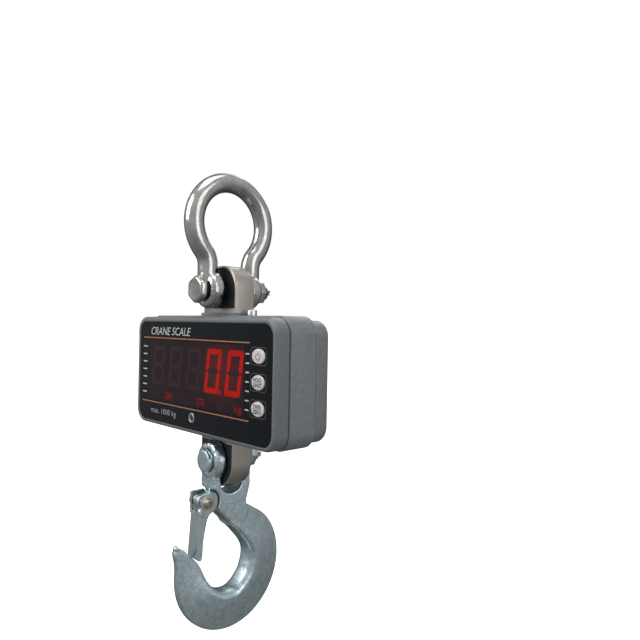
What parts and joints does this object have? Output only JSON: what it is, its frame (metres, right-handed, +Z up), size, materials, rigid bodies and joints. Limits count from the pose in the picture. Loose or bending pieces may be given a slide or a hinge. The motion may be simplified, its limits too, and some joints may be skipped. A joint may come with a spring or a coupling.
{
  "type": "crane scale",
  "caption": "Hanging digital crane scale: bow shackle, flat load cell through a grey display case with keys, and a swinging clevis hook with a sprung safety latch.",
  "frame": {"origin": "the suspension point: inside the crown of the shackle, on the load line", "axes": "+X to the right of the display, +Y to the back of the scale, +Z up along the load line"},
  "size_m": [0.172, 0.0901, 0.3292],
  "materials": {
    "stainless": "polished stainless steel",
    "nickel_alloy": "nickel-plated alloy steel, satin",
    "zinc_steel": "zinc-plated forged steel",
    "latch_zinc": "zinc-plated sheet steel",
    "yellow_zinc": "yellow-zinc plated fastener",
    "screw_steel": "bright socket-head screws",
    "case_paint": "grey painted casting, fine satin",
    "seal_rubber": "black rubber",
    "seal_plate": "dark grey plate",
    "panel_film": "glossy black printed panel",
    "window_tint": "dark red tinted window",
    "print_brown": "printed lines",
    "key_white": "light grey key caps",
    "led_red": "red display segments",
    "digit_black": "digit module body",
    "board_green": "circuit board",
    "part_black": "electronic parts",
    "collar_grey": "moulded collar",
    "battery_blue": "battery sleeve",
    "gauge_foil": "strain gauge foil"
  },
  "bodies": {
    "shackle": {"shackle_bow": "stainless", "shackle_pin": "stainless", "shackle_nut": "stainless", "shackle_cotter": "stainless"},
    "scale_case": {"load_cell": "nickel_alloy", "strain_gauges": "gauge_foil", "cell_cable": "part_black", "upper_bracket": "collar_grey", "lower_bracket": "collar_grey", "upper_seal": "seal_plate", "lower_seal": "seal_plate", "upper_screws": "screw_steel", "lower_screws": "screw_steel", "bracket_screws": "screw_steel", "front_bezel": "case_paint", "front_panel": "panel_film", "display_window": "window_tint", "panel_lines": "print_brown", "case_seal": "seal_rubber", "main_shell": "case_paint", "back_cover": "case_paint", "battery_door": "case_paint", "door_screws": "screw_steel", "case_screws": "screw_steel", "display_board": "board_green", "digit_modules": "digit_black", "digit_segments": "led_red", "key_switches": "part_black", "ir_ring": "screw_steel", "ir_lens": "part_black", "main_board": "board_green", "board_chips": "part_black", "battery_pack": "battery_blue", "charge_socket": "part_black"},
    "power_key": {"power_button": "key_white"},
    "hold_key": {"hold_button": "key_white"},
    "tare_key": {"tare_button": "key_white"},
    "hook_set": {"hook": "zinc_steel", "hook_pin": "zinc_steel", "hook_pin_nut": "zinc_steel", "hook_cotter": "screw_steel", "latch_bolt": "yellow_zinc", "latch_nut": "yellow_zinc", "latch_spring": "screw_steel"},
    "safety_latch": {"latch": "latch_zinc"}
  },
  "joints": [
    {"name": "shackle_swing", "type": "hinge", "parent": "shackle", "child": "scale_case", "pos_m": [0, 0, -0.0714], "axis": [0, 1, 0], "range_deg": [-80, 80]},
    {"name": "hook_swing", "type": "hinge", "parent": "scale_case", "child": "hook_set", "pos_m": [0, 0, -0.1918], "axis": [0, 1, 0], "range_deg": [-80, 80]},
    {"name": "latch_hinge", "type": "hinge", "parent": "hook_set", "child": "safety_latch", "pos_m": [0, -0.0201, -0.2194], "axis": [1, 0, 0], "range_deg": [0, 38], "stiffness_Nm_per_rad": 0.03, "springref_deg": -34.38},
    {"name": "power_press", "type": "slide", "parent": "scale_case", "child": "power_key", "axis": [0, 1, 0], "range_m": [0, 0.0005], "stiffness_N_per_m": 800, "springref_m": -0.0003},
    {"name": "hold_press", "type": "slide", "parent": "scale_case", "child": "hold_key", "axis": [0, 1, 0], "range_m": [0, 0.0005], "stiffness_N_per_m": 800, "springref_m": -0.0003},
    {"name": "tare_press", "type": "slide", "parent": "scale_case", "child": "tare_key", "axis": [0, 1, 0], "range_m": [0, 0.0005], "stiffness_N_per_m": 800, "springref_m": -0.0003}
  ]
}
